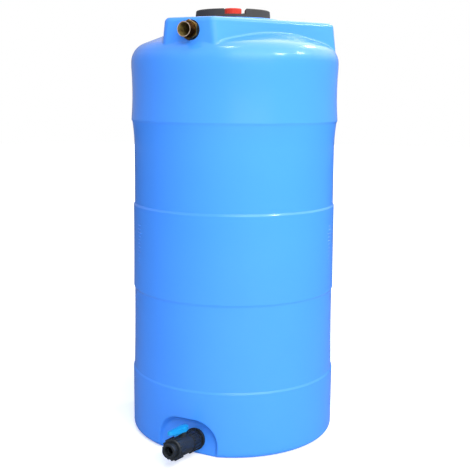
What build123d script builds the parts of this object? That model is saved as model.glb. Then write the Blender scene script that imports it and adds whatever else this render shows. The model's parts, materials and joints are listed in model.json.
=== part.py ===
from build123d import *
import os
from math import cos, radians, sin, sqrt, tan

# Tank body: a moulded shell of one wall thickness, banded by four ledges
wall = 5.0
base_radius = 299.5
base_fillet = 18.0
base_ledge_z = 187.5
lower_ledge_z = 430.5
upper_ledge_z = 676.0
upper_flare_z = 845.0
top_ledge_z = 914.0
shoulder_start_z = 1066.0
shoulder_z = 1116.0
shoulder_fillet = 56.0
ledge_height = 6.0
ledge_fillet = 3.0
dome_angle = 21.0

# How far each band's foot, waist and head stand in from the base's radius
lower_recess_foot = 3.1
lower_recess_waist = 5.5
lower_recess_head = 6.3
middle_band_foot = 3.5
middle_band_waist = 4.9
middle_band_head = 5.5
upper_recess_foot = 8.5
upper_recess_waist = 9.2
flare_waist = 7.5
upper_recess_head = 4.1
top_band_foot = 1.3
top_band_waist = 4.7
top_band_head = 2.3

# Raised block on the dome: three long flats and three short facets
block_rise = 73.0
block_root = 36.0
block_draft = 6.0
facet_setback = 27.5
facet_half_width = 70.4
crown_margin = 20.0
block_corner_fillet = 24.0
block_top_fillet = 13.0
block_inner_fillet = 4.0
block_foot_fillet = 8.0
collar_radius = 135.0
collar_rise = 9.0
collar_fillet = 4.0

# Neck that takes the lid, a little off the tank's axis
neck_x = -6.0
neck_y = -3.0
neck_radius = 98.0
neck_depth = 42.0

# Outlet niche in the base band, with a floor that leans back
niche_x = 3.0
niche_half_width = 86.0
niche_top = 90.0
niche_floor_fillet = 9.0
niche_corner = 58.0
niche_depth = 27.5
niche_flare = 20.0
niche_tilt = 7.0
niche_rim_fillet = 6.0
niche_rim_reach = 15.0

# Lid, screwed into the neck
lid_turn = 30.0
lid_gap = 2.5
thread_gap = 2.5
lid_overlap = 9.0
lid_height = 23.0
lid_draft = 5.0
lid_deck = 8.0
lid_skin = 4.0
skirt_wall = 5.5
skirt_depth = 36.0
slot_width = 58.0
dish_radius = 62.0
lid_edge_fillet = 4.0
gasket_inset = 0.5
gasket_margin = 1.5
boss_radius = 30.0
boss_depth = 16.0

# Vent plug in the middle of the lid
plug_thread_radius = 20.0
plug_head_radius = 24.5
plug_head_height = 20.5
plug_foot_height = 5.0
plug_foot_radius = 22.5
plug_length = 22.0
plug_bore = 14.0
flute_count = 18
flute_radius = 1.8
vent_hole_radius = 2.0
vent_hole_count = 6
plug_seal_thickness = 2.0
plug_dome = 2.0

# Brass inlet fitting on the front facet
inlet_x = 6.0
inlet_drop = 34.0
inlet_thread_radius = 20.955
inlet_bore = 17.5
inlet_reach = 36.0
inlet_hex = 47.0
inlet_hex_width = 10.0
inlet_tail = 20.0
inlet_washer_thickness = 2.5
inlet_washer_radius = 26.5
inlet_inner_washer_radius = 24.5
backnut_flats = 50.0
backnut_width = 10.0

# Outlet bulkhead through the niche floor
outlet_x = 21.0
outlet_z = 42.0
outlet_washer_thickness = 3.0
outlet_washer_radius = 30.0
bulkhead_thread_radius = 20.8
bulkhead_bore = 14.0
bulkhead_flange_radius = 31.0
bulkhead_flange_width = 5.0
bulkhead_hex = 50.0
bulkhead_hex_width = 12.0
bulkhead_tail = 26.0
outlet_backnut_flats = 56.0
outlet_backnut_width = 12.0

# Ball valve with a union at each end
bore_radius = 12.5
connector_tail_radius = 16.6
connector_tail = 15.0
connector_neck_radius = 19.5
connector_neck = 8.0
neck_shoulder_gap = 0.6
connector_way = 10.0
union_slack = 0.4
connector_collar_radius = 24.0
connector_collar_width = 6.0
connector_socket = 22.0
outlet_thread_radius = 12.06
outlet_thread_depth = 17.0
nut_lip = 4.5
nut_length = 30.0
nut_radius = 28.0
nut_rib_height = 2.6
nut_rib_width = 4.0
nut_rib_count = 16
body_thread_radius = 25.2
body_thread_length = 20.0
body_radius = 27.0
body_length = 88.0
ball_radius = 18.5
cavity_radius = 19.4
seat_radius = 17.5
seat_recess = 2.0
seat_reach = 9.0
seat_gap = 0.3
carrier_width = 10.0
oring_section = 1.5
tower_radius = 11.0
tower_height = 37.5
stem_radius = 6.0
stem_running_gap = 0.05
stem_collar_radius = 8.0
stem_collar_width = 3.0
stem_square = 8.5
stem_top = 51.0
stem_ring_heights = (28.0, 33.0)
stem_ring_section = 0.9
slot_depth = 4.0
tongue_width = 6.0

# Lever
lever_bottom = 38.5
lever_height = 14.5
lever_hub_radius = 10.5
lever_reach = 74.0
lever_back = 22.0
lever_tip_width = 13.0
lever_root_width = 19.0
lever_tip_height = 9.0
lever_corner_fillet = 5.2
lever_fillet = 3.0
tooth_count = 6
tooth_pitch = 6.0
tooth_width = 3.0
tooth_height = 3.0

# What the fittings share
fit_gap = 0.1
thread_chamfer = 1.5
tail_chamfer = 1.0
face_chamfer = 0.5
inlet_corner_cut = 3.0
backnut_corner_cut = 2.0
bulkhead_corner_cut = 1.5
corner_up = 0.0
flat_up = 30.0

cutter = 400.0  # larger than anything it cuts
near = 1.0  # tells apart edges and points that lie further from each other than this
exact = 0.01

facet_reach = base_radius - facet_setback
flat_reach = facet_reach * cos(radians(60)) + facet_half_width * sin(radians(60))
lid_radius = neck_radius + lid_overlap
block_top_z = shoulder_z + block_rise
collar_top_z = block_top_z + collar_rise
dome_slope = tan(radians(dome_angle))
niche_lean = radians(niche_tilt)
niche_reach = base_radius - niche_depth


def body_of_revolution(inset):
    # The banded barrel, its shoulder and its dome, drawn smaller by the inset
    side = base_radius - inset
    corner_z = shoulder_z - inset / cos(radians(dome_angle)) + inset * dome_slope
    corner_r = side - top_band_head
    crown_r = flat_reach - inset - crown_margin
    crown_z = corner_z + (corner_r - crown_r) * dome_slope
    half = ledge_height / 2
    lower_mid = (base_ledge_z + lower_ledge_z) / 2
    middle_mid = (lower_ledge_z + upper_ledge_z) / 2
    upper_mid = (upper_ledge_z + upper_flare_z) / 2
    top_mid = (top_ledge_z + shoulder_start_z) / 2
    flare_mid = (upper_flare_z + top_ledge_z) / 2
    with BuildPart() as body:
        with BuildSketch(Plane.XZ) as section:
            with BuildLine():
                Polyline(
                    (0, crown_z),
                    (0, inset),
                    (side, inset),
                    (side, base_ledge_z - half),
                    (side - lower_recess_foot, base_ledge_z + half),
                )
                ThreePointArc(
                    (side - lower_recess_foot, base_ledge_z + half),
                    (side - lower_recess_waist, lower_mid),
                    (side - lower_recess_head, lower_ledge_z - half),
                )
                Line(
                    (side - lower_recess_head, lower_ledge_z - half),
                    (side - middle_band_foot, lower_ledge_z + half),
                )
                ThreePointArc(
                    (side - middle_band_foot, lower_ledge_z + half),
                    (side - middle_band_waist, middle_mid),
                    (side - middle_band_head, upper_ledge_z - half),
                )
                Polyline(
                    (side - middle_band_head, upper_ledge_z - half),
                    (side - upper_recess_foot, upper_ledge_z + half),
                    (side - upper_recess_waist, upper_mid),
                    (side - upper_recess_waist, upper_flare_z),
                )
                ThreePointArc(
                    (side - upper_recess_waist, upper_flare_z),
                    (side - flare_waist, flare_mid),
                    (side - upper_recess_head, top_ledge_z - half),
                )
                Line(
                    (side - upper_recess_head, top_ledge_z - half),
                    (side - top_band_foot, top_ledge_z + half),
                )
                ThreePointArc(
                    (side - top_band_foot, top_ledge_z + half),
                    (side - top_band_waist, top_mid),
                    (side - top_band_head, shoulder_start_z),
                )
                Polyline(
                    (corner_r, shoulder_start_z),
                    (corner_r, corner_z),
                    (crown_r, crown_z),
                    (0, crown_z),
                )
            make_face()
            rim = section.vertices().filter_by(lambda v: v.X > crown_r + near)
            ledges = rim.filter_by(
                lambda v: any(
                    abs(abs(v.Y - z) - half) < exact
                    for z in (base_ledge_z, lower_ledge_z, upper_ledge_z, top_ledge_z)
                )
            )
            fillet(ledges, ledge_fillet)
            foot = section.vertices().filter_by(lambda v: v.X > crown_r and v.Y < inset + exact)
            fillet(foot, base_fillet - inset)
            corner = section.vertices().filter_by(lambda v: abs(v.Y - corner_z) < exact)
            fillet(corner, shoulder_fillet - inset)
        revolve(axis=Axis.Z)
    return body.part


def raised_block(inset):
    # A drafted six-sided block; its front facet is cut upright for the inlet
    root_z = shoulder_z - block_root
    top_z = block_top_z - inset
    spread = (block_top_z - root_z) * tan(radians(block_draft)) - inset
    with BuildPart() as block:
        with BuildSketch(Plane.XY.offset(root_z)):
            Circle(cutter)
            with PolarLocations(flat_reach + spread + cutter, 3, start_angle=-30):
                Rectangle(2 * cutter, 4 * cutter, mode=Mode.SUBTRACT)
            with PolarLocations(facet_reach + spread + cutter, 3, start_angle=-90):
                Rectangle(2 * cutter, 4 * cutter, mode=Mode.SUBTRACT)
        extrude(amount=top_z - root_z, taper=block_draft)
        with Locations((0, -facet_reach + inset - cutter / 2, top_z)):
            Box(2 * cutter, cutter, 4 * cutter, mode=Mode.SUBTRACT)
        upright = block.edges().filter_by(lambda e: abs((e @ 0).Z - (e @ 1).Z) > near)
        fillet(upright, block_corner_fillet - inset)
        top_fillet = block_inner_fillet if inset else block_top_fillet
        fillet(block.edges().group_by(Axis.Z)[-1], top_fillet)
    return block.part


def niche(inset):
    # The scoop round the outlet, open towards the floor
    floor_plane = Plane(
        origin=(niche_x, -niche_reach + inset / cos(niche_lean), outlet_z),
        x_dir=(1, 0, 0),
        z_dir=(0, -cos(niche_lean), sin(niche_lean)),
    )
    low = -outlet_z - niche_corner
    high = niche_top - outlet_z + inset
    half = niche_half_width + inset
    with BuildPart() as scoop:
        with BuildSketch(floor_plane):
            with BuildLine():
                FilletPolyline(
                    (-half, low),
                    (-half, high),
                    (half, high),
                    (half, low),
                    radius=niche_corner + inset,
                )
                Line((half, low), (-half, low))
            make_face()
        extrude(amount=2 * niche_depth, taper=-niche_flare)
        floor_face = scoop.faces().sort_by(Axis.Y)[-1]
        fillet(floor_face.edges(), niche_floor_fillet + inset)
    return scoop.part


def tank_form(inset):
    # The whole moulding as a solid: barrel, block, collar and niche
    with BuildPart() as form:
        add(body_of_revolution(inset))
        add(raised_block(inset))
        fillet(form.edges(Select.NEW), block_foot_fillet + inset)
        with Locations((neck_x, neck_y, (block_top_z + collar_top_z) / 2 - inset)):
            Cylinder(collar_radius - inset, collar_rise)
        add(niche(inset), mode=Mode.SUBTRACT)
        cut = form.edges(Select.NEW).filter_by(lambda e: e.bounding_box().max.Z > base_fillet + niche_rim_fillet)
        rim_radius = niche_reach + niche_rim_reach
        rim = cut.filter_by(lambda e: Vector(e.center().X, e.center().Y, 0).length > rim_radius)
        if inset == 0:
            fillet(rim, niche_rim_fillet)
    return form.part


def across(plane, along):
    # A plane square to a fitting's axis, its x pointing up
    return Plane(
        origin=plane.from_local_coords((along, 0, 0)),
        x_dir=plane.y_dir,
        z_dir=plane.x_dir,
    )


def ring(plane, start, end, inner, outer_radius):
    # A plain washer or tube between two stations on a fitting's axis
    with BuildPart() as band:
        with BuildSketch(plane):
            with Locations(((start + end) / 2, (inner + outer_radius) / 2)):
                Rectangle(end - start, outer_radius - inner)
        revolve(axis=Axis(plane.origin, plane.x_dir))
    return band


def hex_ring(plane, start, end, inner, flats, corner_cut, turn):
    # A hexagon nut with its corners turned off, with a corner or a flat up
    tip = flats / sqrt(3) + fit_gap
    with BuildPart() as nut:
        with BuildSketch(across(plane, start)):
            RegularPolygon(flats / 2, 6, major_radius=False, rotation=turn)
            Circle(inner, mode=Mode.SUBTRACT)
        extrude(amount=end - start)
        with BuildSketch(plane):
            with BuildLine():
                Polyline(
                    (start, inner - fit_gap),
                    (end, inner - fit_gap),
                    (end, flats / 2 - face_chamfer),
                    (end - corner_cut, tip),
                    (start + corner_cut, tip),
                    (start, flats / 2 - face_chamfer),
                    close=True,
                )
            make_face()
        revolve(axis=Axis(plane.origin, plane.x_dir), mode=Mode.INTERSECT)
    return nut


def oring(plane, along, radius, section):
    # A rubber ring of round section
    with BuildPart() as loop:
        with BuildSketch(plane):
            with Locations((along, radius)):
                Circle(section)
        revolve(axis=Axis(plane.origin, plane.x_dir))
    return loop


def keep(piece, name):
    # Label a finished piece and write its STEP file
    piece.part.label = name
    export_step(piece.part, f"parts/{name}.step")


os.makedirs("parts", exist_ok=True)

# Frames of the fittings: x runs outwards along the water way, y is up
inlet_plane = Plane(
    origin=(inlet_x, -facet_reach, block_top_z - inlet_drop),
    x_dir=(0, -1, 0),
    z_dir=(-1, 0, 0),
)
outlet_plane = Plane(
    origin=(outlet_x, -niche_reach, outlet_z),
    x_dir=(0, -cos(niche_lean), sin(niche_lean)),
    z_dir=(-1, 0, 0),
)

with BuildPart() as tank_shell:
    add(tank_form(0))
    fillet(tank_shell.edges().group_by(Axis.Z)[-1], collar_fillet)
    add(tank_form(wall), mode=Mode.SUBTRACT)
    with Locations((neck_x, neck_y, collar_top_z - neck_depth)):
        Cylinder(
            neck_radius + wall,
            neck_depth - collar_fillet,
            align=(Align.CENTER, Align.CENTER, Align.MIN),
        )
        Cylinder(
            neck_radius,
            2 * neck_depth,
            align=(Align.CENTER, Align.CENTER, Align.CENTER),
            mode=Mode.SUBTRACT,
        )
    with BuildSketch(across(inlet_plane, wall), across(outlet_plane, wall)):
        Circle(inlet_thread_radius + fit_gap)
    extrude(amount=-3 * wall, mode=Mode.SUBTRACT)
keep(tank_shell, "tank_shell")

# Lid: a drafted cap with a slot across it, hollow below, and a long plain skirt
lid_base_z = collar_top_z + lid_gap
deck_z = lid_base_z + lid_deck
skirt_radius = neck_radius - thread_gap
lid_plane = Plane(origin=(neck_x, neck_y, lid_base_z)).rotated((0, 0, lid_turn))
pocket_radius = skirt_radius - skirt_wall
with BuildPart() as lid_cap:
    with BuildSketch(lid_plane):
        Circle(lid_radius)
    extrude(amount=lid_height, taper=lid_draft)
    with BuildSketch(lid_plane.offset(lid_deck)):
        Circle(dish_radius)
        Rectangle(slot_width, 3 * lid_radius)
    extrude(amount=lid_height, mode=Mode.SUBTRACT)
    fillet(lid_cap.edges().group_by(Axis.Z)[-1], lid_edge_fillet)
    with BuildSketch(lid_plane):
        Circle(pocket_radius)
    extrude(amount=lid_deck - lid_skin, mode=Mode.SUBTRACT)
    with BuildSketch(lid_plane):
        Circle(pocket_radius)
        Circle(dish_radius + lid_skin, mode=Mode.SUBTRACT)
        Rectangle(slot_width + 2 * lid_skin, 3 * lid_radius, mode=Mode.SUBTRACT)
    extrude(amount=lid_height - lid_skin, mode=Mode.SUBTRACT)
    with BuildSketch(lid_plane):
        Circle(skirt_radius)
        Circle(pocket_radius, mode=Mode.SUBTRACT)
    extrude(amount=-skirt_depth)
    with BuildSketch(lid_plane.offset(lid_deck - lid_skin)):
        Circle(boss_radius)
    extrude(amount=-boss_depth)
    with BuildSketch(lid_plane.offset(lid_deck)):
        Circle(plug_thread_radius + fit_gap)
    extrude(amount=-3 * lid_deck - boss_depth, mode=Mode.SUBTRACT)
keep(lid_cap, "lid_cap")

upright_plane = Plane(origin=(neck_x, neck_y, collar_top_z), x_dir=(0, 0, 1), z_dir=(0, -1, 0))
lid_gasket = ring(upright_plane, 0, lid_gap, neck_radius + gasket_inset, lid_radius - gasket_margin)
keep(lid_gasket, "lid_gasket")

# Vent plug: a fluted knob on a hollow shank, with vent holes under the head
plug_seat_z = deck_z + plug_seal_thickness
plug_plane = Plane(origin=(neck_x, neck_y, plug_seat_z), x_dir=(0, 0, 1), z_dir=(0, -1, 0))
with BuildPart() as vent_plug:
    with BuildSketch(plug_plane):
        with BuildLine():
            Polyline(
                (-plug_length, plug_bore),
                (-plug_length, plug_thread_radius),
                (0, plug_thread_radius),
                (0, plug_foot_radius),
                (plug_foot_height, plug_foot_radius),
                (plug_foot_height, plug_head_radius),
                (plug_head_height - plug_dome, plug_head_radius),
                (plug_head_height, plug_head_radius - plug_dome),
                (plug_head_height, 0),
                (plug_foot_height, 0),
                (plug_foot_height, plug_bore),
                close=True,
            )
        make_face()
    revolve(axis=Axis(plug_plane.origin, plug_plane.x_dir))
    with BuildSketch(Plane(origin=(neck_x, neck_y, plug_seat_z + plug_foot_height))):
        with PolarLocations(plug_head_radius + flute_radius / 2, flute_count):
            Circle(flute_radius)
    extrude(amount=plug_head_height - plug_foot_height, mode=Mode.SUBTRACT)
    for index in range(vent_hole_count):
        turn = radians(360 / vent_hole_count * index)
        hole_plane = Plane(
            origin=(neck_x, neck_y, plug_seat_z + plug_foot_height / 2),
            x_dir=(0, 0, 1),
            z_dir=(cos(turn), sin(turn), 0),
        )
        with BuildSketch(hole_plane):
            Circle(vent_hole_radius)
        extrude(amount=2 * plug_foot_radius, mode=Mode.SUBTRACT)
keep(vent_plug, "vent_plug")

seal_plane = Plane(origin=(neck_x, neck_y, deck_z), x_dir=(0, 0, 1), z_dir=(0, -1, 0))
vent_seal = ring(seal_plane, 0, plug_seal_thickness, plug_thread_radius + gasket_inset, plug_foot_radius)
keep(vent_seal, "vent_seal")

# Inlet: brass tube with a hexagon, clamped through the facet by a backnut
inlet_seat = inlet_washer_thickness
inlet_inside = -wall - inlet_washer_thickness
with BuildPart() as inlet_fitting:
    with BuildSketch(inlet_plane):
        with BuildLine():
            Polyline(
                (inlet_inside - inlet_tail, inlet_bore),
                (inlet_inside - inlet_tail, inlet_thread_radius - tail_chamfer),
                (inlet_inside - inlet_tail + tail_chamfer, inlet_thread_radius),
                (inlet_reach - thread_chamfer, inlet_thread_radius),
                (inlet_reach, inlet_thread_radius - thread_chamfer),
                (inlet_reach, inlet_bore),
                close=True,
            )
        make_face()
    revolve(axis=Axis(inlet_plane.origin, inlet_plane.x_dir))
    add(
        hex_ring(
            inlet_plane,
            inlet_seat,
            inlet_seat + inlet_hex_width,
            inlet_thread_radius - tail_chamfer,
            inlet_hex,
            inlet_corner_cut,
            corner_up,
        ).part
    )
keep(inlet_fitting, "inlet_fitting")

thread_bore = inlet_thread_radius + fit_gap
inlet_washer = ring(inlet_plane, 0, inlet_seat, thread_bore, inlet_washer_radius)
keep(inlet_washer, "inlet_washer")
inlet_inner_washer = ring(
    inlet_plane, inlet_inside, -wall, thread_bore, inlet_inner_washer_radius
)
keep(inlet_inner_washer, "inlet_inner_washer")
inlet_backnut = hex_ring(
    inlet_plane,
    inlet_inside - backnut_width,
    inlet_inside,
    thread_bore,
    backnut_flats,
    backnut_corner_cut,
    flat_up,
)
keep(inlet_backnut, "inlet_backnut")

# Outlet bulkhead: flange, hexagon and a threaded tail through the niche floor
flange_start = outlet_washer_thickness
flange_end = flange_start + bulkhead_flange_width
bulkhead_end = flange_end + bulkhead_hex_width
outlet_inside = -wall - outlet_washer_thickness
tail_end = outlet_inside - bulkhead_tail
with BuildPart() as outlet_bulkhead:
    with BuildSketch(outlet_plane):
        with BuildLine():
            Polyline(
                (tail_end, bulkhead_bore),
                (tail_end, bulkhead_thread_radius),
                (flange_start, bulkhead_thread_radius),
                (flange_start, bulkhead_flange_radius),
                (flange_end - tail_chamfer, bulkhead_flange_radius),
                (flange_end, bulkhead_flange_radius - tail_chamfer),
                (flange_end, bulkhead_hex / 2 - tail_chamfer),
                (bulkhead_end, bulkhead_hex / 2 - tail_chamfer),
                (bulkhead_end, connector_tail_radius + fit_gap),
                (flange_start, connector_tail_radius + fit_gap),
                (flange_start, bulkhead_bore),
                close=True,
            )
        make_face()
    revolve(axis=Axis(outlet_plane.origin, outlet_plane.x_dir))
    add(
        hex_ring(
            outlet_plane,
            flange_end,
            bulkhead_end,
            bulkhead_hex / 2 - 2 * tail_chamfer,
            bulkhead_hex,
            bulkhead_corner_cut,
            corner_up,
        ).part
    )
keep(outlet_bulkhead, "outlet_bulkhead")

outlet_bore = bulkhead_thread_radius + fit_gap
outlet_washer = ring(outlet_plane, 0, flange_start, outlet_bore, outlet_washer_radius)
keep(outlet_washer, "outlet_washer")
outlet_inner_washer = ring(outlet_plane, outlet_inside, -wall, outlet_bore, outlet_washer_radius)
keep(outlet_inner_washer, "outlet_inner_washer")
outlet_backnut = hex_ring(
    outlet_plane,
    outlet_inside - outlet_backnut_width,
    outlet_inside,
    outlet_bore,
    outlet_backnut_flats,
    backnut_corner_cut,
    flat_up,
)
keep(outlet_backnut, "outlet_backnut")

# Stations along the valve
body_start = bulkhead_end + connector_neck + connector_collar_width
body_end = body_start + body_length
ball_station = (body_start + body_end) / 2
valve_end = body_end + connector_collar_width + connector_socket
groove_radius = (cavity_radius + connector_collar_radius) / 2
groove_depth = 2 * oring_section


def groove(station, way):
    # The ring groove in a collar's face; way is +1 where the face looks outwards
    return [
        (station, groove_radius + oring_section),
        (station - way * groove_depth, groove_radius + oring_section),
        (station - way * groove_depth, groove_radius - oring_section),
        (station, groove_radius - oring_section),
    ]


with BuildPart() as rear_connector:
    with BuildSketch(outlet_plane):
        with BuildLine():
            Polyline(
                (bulkhead_end + neck_shoulder_gap - connector_tail, bore_radius),
                (bulkhead_end + neck_shoulder_gap - connector_tail, connector_tail_radius),
                (bulkhead_end + neck_shoulder_gap, connector_tail_radius),
                (bulkhead_end + neck_shoulder_gap, connector_neck_radius),
                (body_start - connector_collar_width, connector_neck_radius),
                (body_start - connector_collar_width, connector_collar_radius),
                (body_start, connector_collar_radius),
                *groove(body_start, 1),
                (body_start, bore_radius),
                close=True,
            )
        make_face()
    revolve(axis=Axis(outlet_plane.origin, outlet_plane.x_dir))
keep(rear_connector, "rear_connector")

with BuildPart() as front_connector:
    with BuildSketch(outlet_plane):
        with BuildLine():
            Polyline(
                (body_end, bore_radius),
                *reversed(groove(body_end, -1)),
                (body_end, connector_collar_radius),
                (body_end + connector_collar_width, connector_collar_radius),
                (body_end + connector_collar_width, connector_neck_radius),
                (valve_end - tail_chamfer, connector_neck_radius),
                (valve_end, connector_neck_radius - tail_chamfer),
                (valve_end, outlet_thread_radius),
                (valve_end - outlet_thread_depth, outlet_thread_radius),
                (valve_end - outlet_thread_depth, connector_way),
                (body_end + connector_collar_width, connector_way),
                close=True,
            )
        make_face()
    revolve(axis=Axis(outlet_plane.origin, outlet_plane.x_dir))
keep(front_connector, "front_connector")


def union_nut(name, lip_station, way):
    # A ribbed union nut whose lip bears on a connector's collar
    plane = across(outlet_plane, lip_station)
    nut_plane = Plane(
        origin=plane.origin, x_dir=outlet_plane.x_dir * way, z_dir=outlet_plane.z_dir * way
    )
    collar_end = nut_lip + connector_collar_width - fit_gap
    with BuildPart() as nut:
        with BuildSketch(nut_plane):
            with BuildLine():
                Polyline(
                    (0, connector_neck_radius + union_slack),
                    (nut_lip, connector_neck_radius + union_slack),
                    (nut_lip, connector_collar_radius + union_slack),
                    (collar_end, connector_collar_radius + union_slack),
                    (collar_end, body_thread_radius + fit_gap),
                    (nut_length, body_thread_radius + fit_gap),
                    (nut_length, nut_radius),
                    (nut_lip / 2, nut_radius),
                    (0, nut_radius - nut_lip / 2),
                    close=True,
                )
            make_face()
        revolve(axis=Axis(nut_plane.origin, nut_plane.x_dir))
        with BuildSketch(across(nut_plane, nut_lip / 2)):
            with PolarLocations(nut_radius, nut_rib_count):
                Rectangle(2 * nut_rib_height, nut_rib_width)
            Circle(nut_radius - nut_rib_height / 2, mode=Mode.SUBTRACT)
        extrude(amount=nut_length - nut_lip)
    keep(nut, name)
    return nut


rear_union_nut = union_nut(
    "rear_union_nut", body_start - connector_collar_width - nut_lip, 1
)
front_union_nut = union_nut(
    "front_union_nut", body_end + connector_collar_width + nut_lip, -1
)

rear_oring = oring(outlet_plane, body_start - groove_depth + oring_section, groove_radius, oring_section)
keep(rear_oring, "rear_oring")
front_oring = oring(outlet_plane, body_end + groove_depth - oring_section, groove_radius, oring_section)
keep(front_oring, "front_oring")

# Valve body: a turned barrel with union threads and a stem tower on top
stem_plane = Plane(
    origin=outlet_plane.from_local_coords((ball_station, 0, 0)),
    x_dir=outlet_plane.x_dir,
    z_dir=outlet_plane.y_dir,
)
seat_back = ball_station - ball_radius + seat_recess
pocket_end = ball_station - seat_reach
collar_roof = cavity_radius + stem_collar_width + fit_gap
with BuildPart() as valve_body:
    with BuildSketch(outlet_plane):
        with Locations((ball_station, body_thread_radius / 2)):
            Rectangle(body_length, body_thread_radius)
        with Locations((ball_station, body_radius / 2)):
            Rectangle(body_length - 2 * body_thread_length, body_radius)
    revolve(axis=Axis(outlet_plane.origin, outlet_plane.x_dir))
    with BuildSketch(stem_plane):
        Circle(tower_radius)
    extrude(amount=tower_height)
    with BuildSketch(outlet_plane):
        with Locations((ball_station, bore_radius / 2)):
            Rectangle(body_length, bore_radius)
        with Locations(((seat_back + body_end) / 2, (seat_radius + fit_gap) / 2)):
            Rectangle(body_end - seat_back, seat_radius + fit_gap)
        with Locations(((pocket_end + body_end) / 2, cavity_radius / 2)):
            Rectangle(body_end - pocket_end, cavity_radius)
    revolve(axis=Axis(outlet_plane.origin, outlet_plane.x_dir), mode=Mode.SUBTRACT)
    with BuildSketch(stem_plane):
        Circle(stem_collar_radius + fit_gap)
    extrude(amount=collar_roof, mode=Mode.SUBTRACT)
    with BuildSketch(stem_plane):
        Circle(stem_radius + stem_running_gap)
    extrude(amount=tower_height, mode=Mode.SUBTRACT)
keep(valve_body, "valve_body")


def seat(name, way):
    # A seat ring: its face is a sphere just clear of the ball
    face_radius = ball_radius + seat_gap
    inner_x = (face_radius**2 - bore_radius**2) ** 0.5
    outer_x = (face_radius**2 - seat_radius**2) ** 0.5
    middle_r = (bore_radius + seat_radius) / 2
    middle_x = (face_radius**2 - middle_r**2) ** 0.5
    back_x = ball_radius - seat_recess
    with BuildPart() as seat_ring:
        with BuildSketch(outlet_plane):
            with BuildLine():
                Polyline(
                    (ball_station + way * inner_x, bore_radius),
                    (ball_station + way * back_x, bore_radius),
                    (ball_station + way * back_x, seat_radius),
                    (ball_station + way * outer_x, seat_radius),
                )
                ThreePointArc(
                    (ball_station + way * outer_x, seat_radius),
                    (ball_station + way * middle_x, middle_r),
                    (ball_station + way * inner_x, bore_radius),
                )
            make_face()
        revolve(axis=Axis(outlet_plane.origin, outlet_plane.x_dir))
    keep(seat_ring, name)


seat("rear_seat", -1)
seat("front_seat", 1)

# Seat carrier: screwed in from the front, it presses the front seat to the ball
with BuildPart() as seat_carrier:
    with BuildSketch(outlet_plane):
        with BuildLine():
            Polyline(
                (ball_station + seat_reach, seat_radius + fit_gap),
                (ball_station + seat_reach, cavity_radius - fit_gap),
                (ball_station + seat_reach + carrier_width, cavity_radius - fit_gap),
                (ball_station + seat_reach + carrier_width, bore_radius),
                (ball_station + ball_radius - seat_recess, bore_radius),
                (ball_station + ball_radius - seat_recess, seat_radius + fit_gap),
                close=True,
            )
        make_face()
    revolve(axis=Axis(outlet_plane.origin, outlet_plane.x_dir))
keep(seat_carrier, "seat_carrier")

# Ball and stem: the stem's tongue sits in the slot on top of the ball
with BuildPart() as valve_ball:
    with Locations(stem_plane):
        Sphere(ball_radius)
    with BuildSketch(across(outlet_plane, ball_station - ball_radius)):
        Circle(bore_radius)
    extrude(amount=2 * ball_radius, mode=Mode.SUBTRACT)
    with BuildSketch(stem_plane.offset(ball_radius - slot_depth)):
        Rectangle(2 * ball_radius, tongue_width + 2 * fit_gap)
    extrude(amount=slot_depth, mode=Mode.SUBTRACT)
keep(valve_ball, "valve_ball")

tongue_foot = ball_radius - slot_depth + fit_gap
collar_foot = ball_radius + seat_gap
with BuildPart() as valve_stem:
    with BuildSketch(stem_plane.offset(tongue_foot)):
        Rectangle(2 * stem_radius, tongue_width)
    extrude(amount=collar_foot - tongue_foot)
    with BuildSketch(stem_plane.offset(collar_foot)):
        Circle(stem_collar_radius)
    extrude(amount=collar_roof - fit_gap - collar_foot)
    with BuildSketch(stem_plane.offset(collar_foot)):
        Circle(stem_radius)
    extrude(amount=tower_height - collar_foot)
    with BuildSketch(stem_plane.offset(tower_height)):
        Rectangle(stem_square, stem_square)
    extrude(amount=stem_top - tower_height)
    for height in stem_ring_heights:
        with BuildSketch(stem_plane.offset(height - stem_ring_section)):
            Circle(stem_radius + near)
            Circle(stem_radius - 2 * stem_ring_section, mode=Mode.SUBTRACT)
        extrude(amount=2 * stem_ring_section, mode=Mode.SUBTRACT)
keep(valve_stem, "valve_stem")

stem_axis_plane = Plane(
    origin=stem_plane.origin, x_dir=stem_plane.z_dir, z_dir=stem_plane.y_dir
)
with BuildPart() as stem_orings:
    for height in stem_ring_heights:
        add(oring(stem_axis_plane, height, stem_radius - stem_ring_section, stem_ring_section).part)
keep(stem_orings, "stem_orings")

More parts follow.
